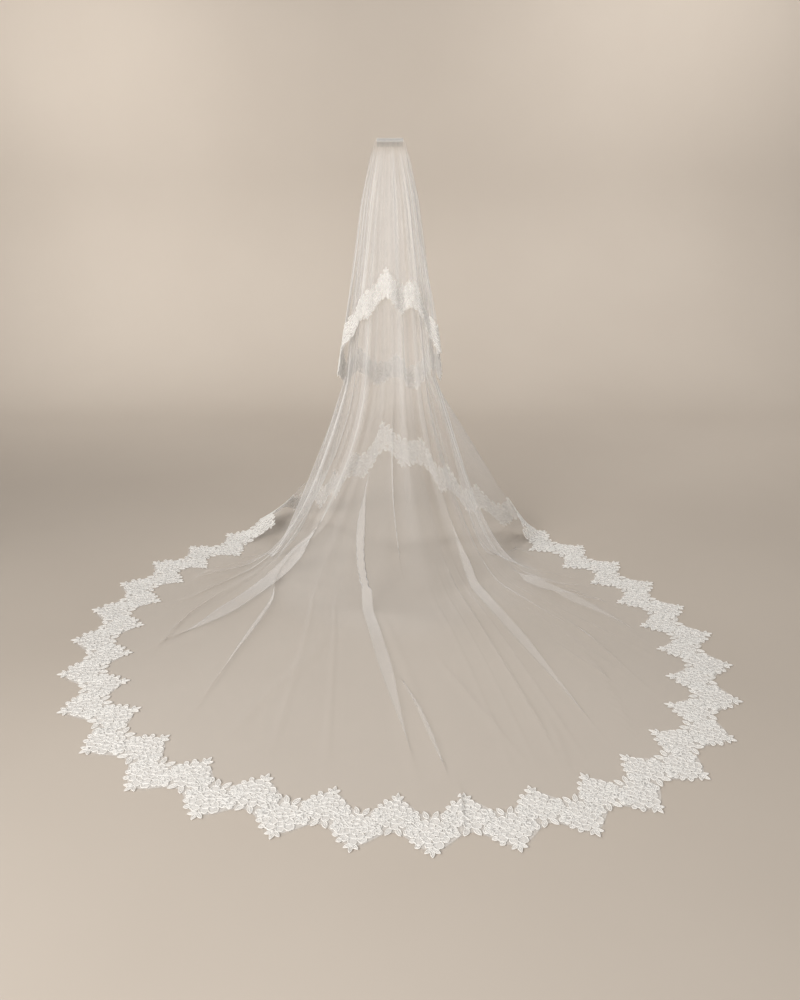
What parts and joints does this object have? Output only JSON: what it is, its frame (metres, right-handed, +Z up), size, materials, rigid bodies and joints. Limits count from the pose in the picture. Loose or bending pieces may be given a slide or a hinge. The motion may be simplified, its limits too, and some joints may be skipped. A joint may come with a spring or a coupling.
{
  "type": "wedding veil",
  "caption": "Two-tier tulle veil on a hair comb, with scalloped corded lace round both tiers, hanging from the comb into a cone and a long train laid on the floor.",
  "frame": {"origin": "middle of the comb's spine, where the wearer's hair holds the veil", "axes": "+Z up; -Y towards the laid-out train, which is the side the picture is taken from; +X to the right seen from there. The floor is 1.65 m below the origin."},
  "size_m": [2.2927, 2.2236, 1.6545],
  "materials": {
    "comb": "clear frosted plastic that looks grey",
    "tulle": "fine ivory tulle, see-through in one layer",
    "lace": "corded floral lace on net, matt ivory"
  },
  "bodies": {
    "root": {"comb": "comb", "comb_binding": "tulle", "long_tier_fall_left": "tulle", "long_tier_fall_right": "tulle", "long_tier_train_front": "tulle", "long_tier_train_left": "tulle", "long_tier_train_right": "tulle", "long_tier_lace_left": "lace", "long_tier_lace_right": "lace", "short_tier_tulle_left": "tulle", "short_tier_tulle_right": "tulle", "short_tier_lace_left": "lace", "short_tier_lace_right": "lace"}
  },
  "joints": []
}
